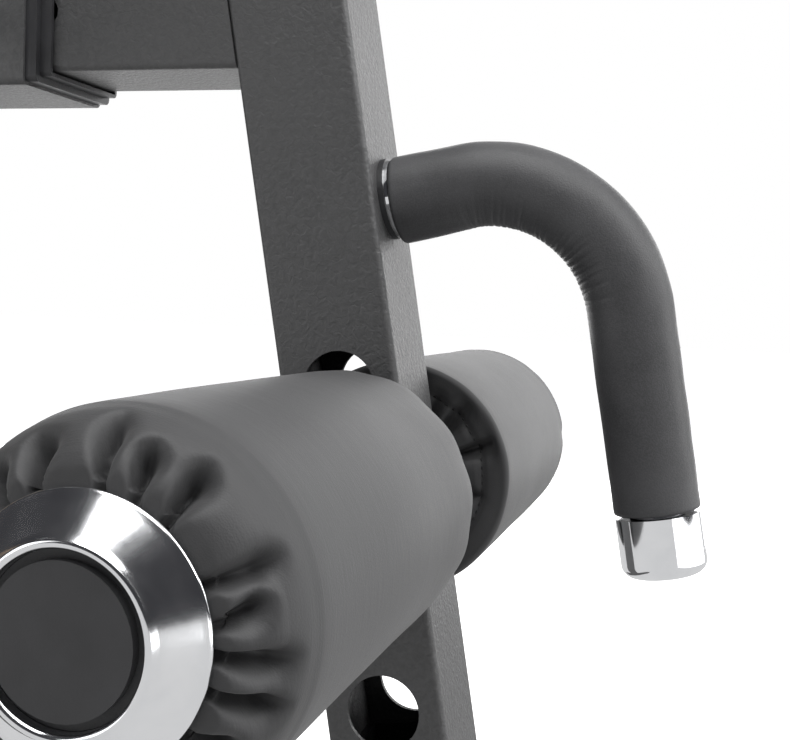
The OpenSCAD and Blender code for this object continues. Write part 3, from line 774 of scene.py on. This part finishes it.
def rounded_outline(half_x, half_y, corner, per_corner=10):
    points = []
    for k, (sx, sy) in enumerate(((1, 1), (-1, 1), (-1, -1), (1, -1))):
        for i in range(per_corner + 1):
            a = math.pi / 2 * (k + i / per_corner)
            points.append((sx * (half_x - corner) + corner * math.cos(a),
                           sy * (half_y - corner) + corner * math.sin(a)))
    return points


def cushion_start():
    """A slab with rounded top edges, with room round it for the simulation to swell it."""
    low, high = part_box("pad_cushion")
    centre = (low + high) / 2
    half_x, half_y = (high.x - low.x) / 2 - SIDE_ROOM, (high.y - low.y) / 2 - SIDE_ROOM
    bottom, top = low.z + BOTTOM_ROOM, high.z - TOP_ROOM
    levels = [(bottom, 2 * MM), (bottom + 4 * MM, 0), (top - EDGE_R, 0)]
    for i in range(1, EDGE_STEPS + 1):
        a = math.pi / 2 * i / EDGE_STEPS
        levels.append((top - EDGE_R + EDGE_R * math.sin(a), EDGE_R * (1 - math.cos(a))))
    points = []
    for z, inset in levels:
        for x, y in rounded_outline(half_x - inset, half_y - inset, CORNER_R - inset / 2):
            points.append((centre.x + x, centre.y + y, z))
    around = len(points) // len(levels)
    faces = [f[::-1] for f in ring_faces(len(levels), around, close=False)]
    faces.append(tuple(range(around))[::-1])
    faces.append(tuple((len(levels) - 1) * around + k for k in range(around)))
    piece = make_piece("pad_cushion_skin", points, faces, PAD_LEATHER)
    fix_normals(piece)
    return piece, bottom, top


def apply_modifiers(piece):
    graph = bpy.context.evaluated_depsgraph_get()
    done = bpy.data.meshes.new_from_object(piece.evaluated_get(graph))
    old = piece.data
    piece.modifiers.clear()
    piece.data = done
    bpy.data.meshes.remove(old)


def coordinates(mesh):
    co = np.zeros(len(mesh.vertices) * 3)
    mesh.vertices.foreach_get("co", co)
    return co.reshape(-1, 3)


def swell(piece, fixed_below):
    """Pressurises the cushion's skin by cloth simulation, with its base held by the board.
    No point moves further than CUSHION_CAP."""
    start = coordinates(piece.data)
    held = piece.vertex_groups.new(name="held")
    held.add([int(i) for i in np.nonzero(start[:, 2] < fixed_below)[0]], 1.0, "REPLACE")
    cloth = piece.modifiers.new("swell", "CLOTH")
    cloth.settings.use_pressure = True
    cloth.settings.uniform_pressure_force = 4.0
    cloth.settings.effector_weights.gravity = 0.0
    cloth.settings.vertex_group_mass = "held"
    cloth.settings.quality = 4
    cloth.settings.bending_stiffness = 6.0
    cloth.collision_settings.use_self_collision = False
    scene = bpy.context.scene
    for number in range(1, CLOTH_FRAMES + 1):
        scene.frame_set(number)
    graph = bpy.context.evaluated_depsgraph_get()
    swollen = coordinates(piece.evaluated_get(graph).data)
    piece.modifiers.clear()
    scene.frame_set(1)
    moved = swollen - start
    size = np.linalg.norm(moved, axis=1)
    moved *= np.minimum(1, CUSHION_CAP / np.maximum(size, 1e-9))[:, None]
    piece.data.vertices.foreach_set("co", (start + moved).ravel())
    piece.data.update()


def build_cushion():
    piece, bottom, top = cushion_start()
    remesh = piece.modifiers.new("even", "REMESH")
    remesh.mode = "VOXEL"
    remesh.voxel_size = VOXEL
    apply_modifiers(piece)
    swell(piece, bottom + HELD_HEIGHT)
    co = coordinates(piece.data)
    normals = np.zeros(len(co) * 3)
    piece.data.vertices.foreach_get("normal", normals)
    ease = smooth_step(bottom + 5 * MM, bottom + 20 * MM, co[:, 2])
    co += normals.reshape(-1, 3) * (wobble(co, 9, 1.2 * MM, 8) * ease)[:, None]
    co[:, 2] = np.clip(co[:, 2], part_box("pad_cushion")[0].z, None)
    piece.data.vertices.foreach_set("co", co.ravel())
    piece.data.update()
    relax = piece.modifiers.new("relax", "SMOOTH")
    relax.factor = 0.5
    relax.iterations = RELAX_PASSES
    finer = piece.modifiers.new("finer", "SUBSURF")
    finer.levels = 1
    finer.render_levels = 1
    apply_modifiers(piece)
    piece.data.shade_smooth()
    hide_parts("pad_cushion")
    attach(piece, "pad_assembly")
    piping(piece, top)


def piping(cushion, top):
    """A welt sewn round the cushion below its top edge."""
    low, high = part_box("pad_cushion")
    centre = (low + high) / 2
    tree = BVHTree.FromObject(cushion, bpy.context.evaluated_depsgraph_get())
    z = top - EDGE_R + 2 * MM
    outline = rounded_outline((high.x - low.x) / 2, (high.y - low.y) / 2, CORNER_R + 2 * MM, 12)
    dense = []
    for (ax, ay), (bx, by) in zip(outline, outline[1:] + outline[:1]):
        steps = max(1, int(math.hypot(bx - ax, by - ay) / PIPING_STEP))
        dense += [(ax + (bx - ax) * i / steps, ay + (by - ay) * i / steps) for i in range(steps)]
    line = []
    for x, y in dense:
        near = tree.find_nearest(Vector((centre.x + x, centre.y + y, z)))
        line.append(near[0] + near[1] * PIPING_LIFT)
    curve = bpy.data.curves.new("pad_piping", "CURVE")
    curve.dimensions = "3D"
    curve.bevel_depth = PIPING_R
    curve.bevel_resolution = 4
    spline = curve.splines.new("POLY")
    spline.points.add(len(line) - 1)
    for point, spot in zip(spline.points, line):
        point.co = (*spot, 1)
    spline.use_cyclic_u = True
    curve.materials.append(PAD_LEATHER)
    made = bpy.data.objects.new("pad_piping_curve", curve)
    bpy.context.scene.collection.objects.link(made)
    graph = bpy.context.evaluated_depsgraph_get()
    mesh = bpy.data.meshes.new_from_object(made.evaluated_get(graph))
    bpy.data.objects.remove(made)
    mesh.shade_smooth()
    welt = bpy.data.objects.new("pad_piping", mesh)
    bpy.context.scene.collection.objects.link(welt)
    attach(welt, "pad_assembly")


# ---------------------------------------------------------------- weld beads

BEAD_R = 2.4 * MM
BEAD_STEP = 1.2 * MM
RIPPLE = 4.6 * MM
BEAD_AROUND = 10
LOOK_AHEAD = 3
ASKEW = Vector((0.267, 0.535, 0.802))


def weld_bead(name, corners, body):
    """A rippled bead along a closed outline of corners. ASKEW is parallel to no edge of an outline."""
    path = []
    for a, b in zip(corners, corners[1:] + corners[:1]):
        steps = int((b - a).length / BEAD_STEP)
        path += [a.lerp(b, i / steps) for i in range(steps)]
    points = []
    for i, spot in enumerate(path):
        ahead = (path[(i + LOOK_AHEAD) % len(path)] - path[i - LOOK_AHEAD]).normalized()
        across = ahead.cross(ASKEW).normalized()
        upward = across.cross(ahead)
        phase = (i * BEAD_STEP / RIPPLE) % 1.0
        ripple = 0.86 + 0.22 * math.sqrt(max(1 - phase ** 2, 0))
        size = BEAD_R * (ripple + noise.noise(spot * 90) * 0.12)
        for k in range(BEAD_AROUND):
            angle = 2 * math.pi * k / BEAD_AROUND
            points.append(spot + (across * math.cos(angle) + upward * math.sin(angle)) * size)
    faces = ring_faces(len(path), BEAD_AROUND)
    piece = make_piece(name, points, faces, MATERIALS["frame_paint"])
    fix_normals(piece)
    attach(piece, body)


def end_outline(node, axis, at):
    """Corners of a node's box on the plane where its axis coordinate is at."""
    low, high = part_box(node)
    u, v = [k for k in range(3) if k != axis]
    corners = []
    for first, second in ((low, low), (high, low), (high, high), (low, high)):
        corner = Vector((0, 0, 0))
        corner[axis], corner[u], corner[v] = at, first[u], second[v]
        corners.append(corner)
    return corners


def build_welds():
    spine_low, spine_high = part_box("base_spine")
    weld_bead("weld_spine_front", end_outline("base_spine", 0, spine_high.x), "frame")
    weld_bead("weld_spine_rear", end_outline("base_spine", 0, spine_low.x), "frame")
    weld_bead("weld_knee_post", end_outline("knee_post", 2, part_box("boom_sleeve")[1].z), "frame")


# ---------------------------------------------------------------- camera, lights and ground

LENS = 52.08
CAMERA_OFFSET = Vector((166.45, -553.63, 95.33)) * MM
CAMERA_AZIMUTH = math.radians(15.78)
CAMERA_ELEVATION = math.radians(-3.444)
CAMERA_ROLL = math.radians(2.337)
ROOM_LEVEL = 0.14
ROOM_GLOSS = 0.04
STAGE_REACH = 14.0
BOUNCE_DROP = 0.02


def build_camera():
    data = bpy.data.cameras.new("camera")
    data.lens = LENS
    data.sensor_width = 36
    data.clip_start = 0.01
    camera = bpy.data.objects.new("camera", data)
    bpy.context.scene.collection.objects.link(camera)
    turn = (Matrix.Rotation(CAMERA_AZIMUTH, 4, "Z")
            @ Matrix.Rotation(math.pi / 2 + CAMERA_ELEVATION, 4, "X")
            @ Matrix.Rotation(CAMERA_ROLL, 4, "Z"))
    camera.matrix_world = Matrix.Translation(ANKLE + CAMERA_OFFSET) @ turn
    bpy.context.scene.camera = camera


def area_light(name, offset, size, power, target=(0, 0, 0)):
    """A soft light; its place and its target are measured from the ankle axle."""
    data = bpy.data.lights.new(name, "AREA")
    data.shape = "RECTANGLE"
    data.size, data.size_y = size
    data.energy = power
    light = bpy.data.objects.new(name, data)
    bpy.context.scene.collection.objects.link(light)
    light.location = ANKLE + Vector(offset)
    aim = ANKLE + Vector(target) - light.location
    light.rotation_euler = aim.to_track_quat("-Z", "Y").to_euler()
    light.visible_camera = False


def build_world():
    """White for the camera. The room that lights the object is dim, and dimmer in its reflections."""
    world = bpy.data.worlds.new("studio")
    world.use_nodes = True
    tree = world.node_tree
    white = tree.nodes["Background"]
    white.inputs["Color"].default_value = (1, 1, 1, 1)
    room = tree.nodes.new("ShaderNodeBackground")
    room.inputs["Color"].default_value = (ROOM_LEVEL, ROOM_LEVEL, ROOM_LEVEL * 1.04, 1)
    dark = tree.nodes.new("ShaderNodeBackground")
    dark.inputs["Color"].default_value = (ROOM_GLOSS, ROOM_GLOSS, ROOM_GLOSS * 1.1, 1)
    rays = tree.nodes.new("ShaderNodeLightPath")
    lit = tree.nodes.new("ShaderNodeMixShader")
    tree.links.new(rays.outputs["Is Glossy Ray"], lit.inputs[0])
    tree.links.new(room.outputs[0], lit.inputs[1])
    tree.links.new(dark.outputs[0], lit.inputs[2])
    mix = tree.nodes.new("ShaderNodeMixShader")
    tree.links.new(rays.outputs["Is Camera Ray"], mix.inputs[0])
    tree.links.new(lit.outputs[0], mix.inputs[1])
    tree.links.new(white.outputs[0], mix.inputs[2])
    tree.links.new(mix.outputs[0], tree.nodes["World Output"].inputs["Surface"])
    bpy.context.scene.world = world


def stage_plane(name, z, material):
    corners = [(x * STAGE_REACH, y * STAGE_REACH, z) for x, y in ((-1, -1), (1, -1), (1, 1), (-1, 1))]
    mesh = bpy.data.meshes.new(name)
    mesh.from_pydata(corners, [], [(0, 1, 2, 3)])
    mesh.materials.append(material)
    plane = bpy.data.objects.new(name, mesh)
    bpy.context.scene.collection.objects.link(plane)
    return plane


def build_studio():
    """Only the camera sees the pale floor; a dimmer plane just below it gives the bounce light."""
    build_world()
    area_light("backdrop", (-0.3, 2.2, 0.5), (3.4, 1.8), 52)
    area_light("top_back", (0.25, 0.9, 1.5), (1.6, 1.1), 5)
    area_light("overhead", (0.05, -0.6, 1.6), (1.2, 1.5), 27)
    area_light("right_top", (1.3, -0.2, 1.3), (1.0, 1.2), 20)
    area_light("right_side", (1.4, 0.6, 0.55), (1.0, 0.8), 7)
    area_light("front_left", (-1.8, -1.6, 0.6), (1.2, 1.4), 9)
    area_light("right_low", (1.25, -0.05, -0.14), (2.5, 0.3), 4.5, (0, -0.05, -0.14))
    ground = stage_plane("ground", 0, pale_ground())
    ground.visible_diffuse = False
    ground.visible_glossy = False
    stage_plane("ground_bounce", -BOUNCE_DROP, bounce())
    bpy.context.scene.view_settings.view_transform = "Standard"


paint_cad_nodes()
build_camera()
build_studio()
build_rollers()
build_end_caps("ankle_end_caps", ANKLE, "boom_carriage")
build_end_caps("knee_end_caps", KNEE, "frame")
build_grip()
build_cushion()
build_welds()
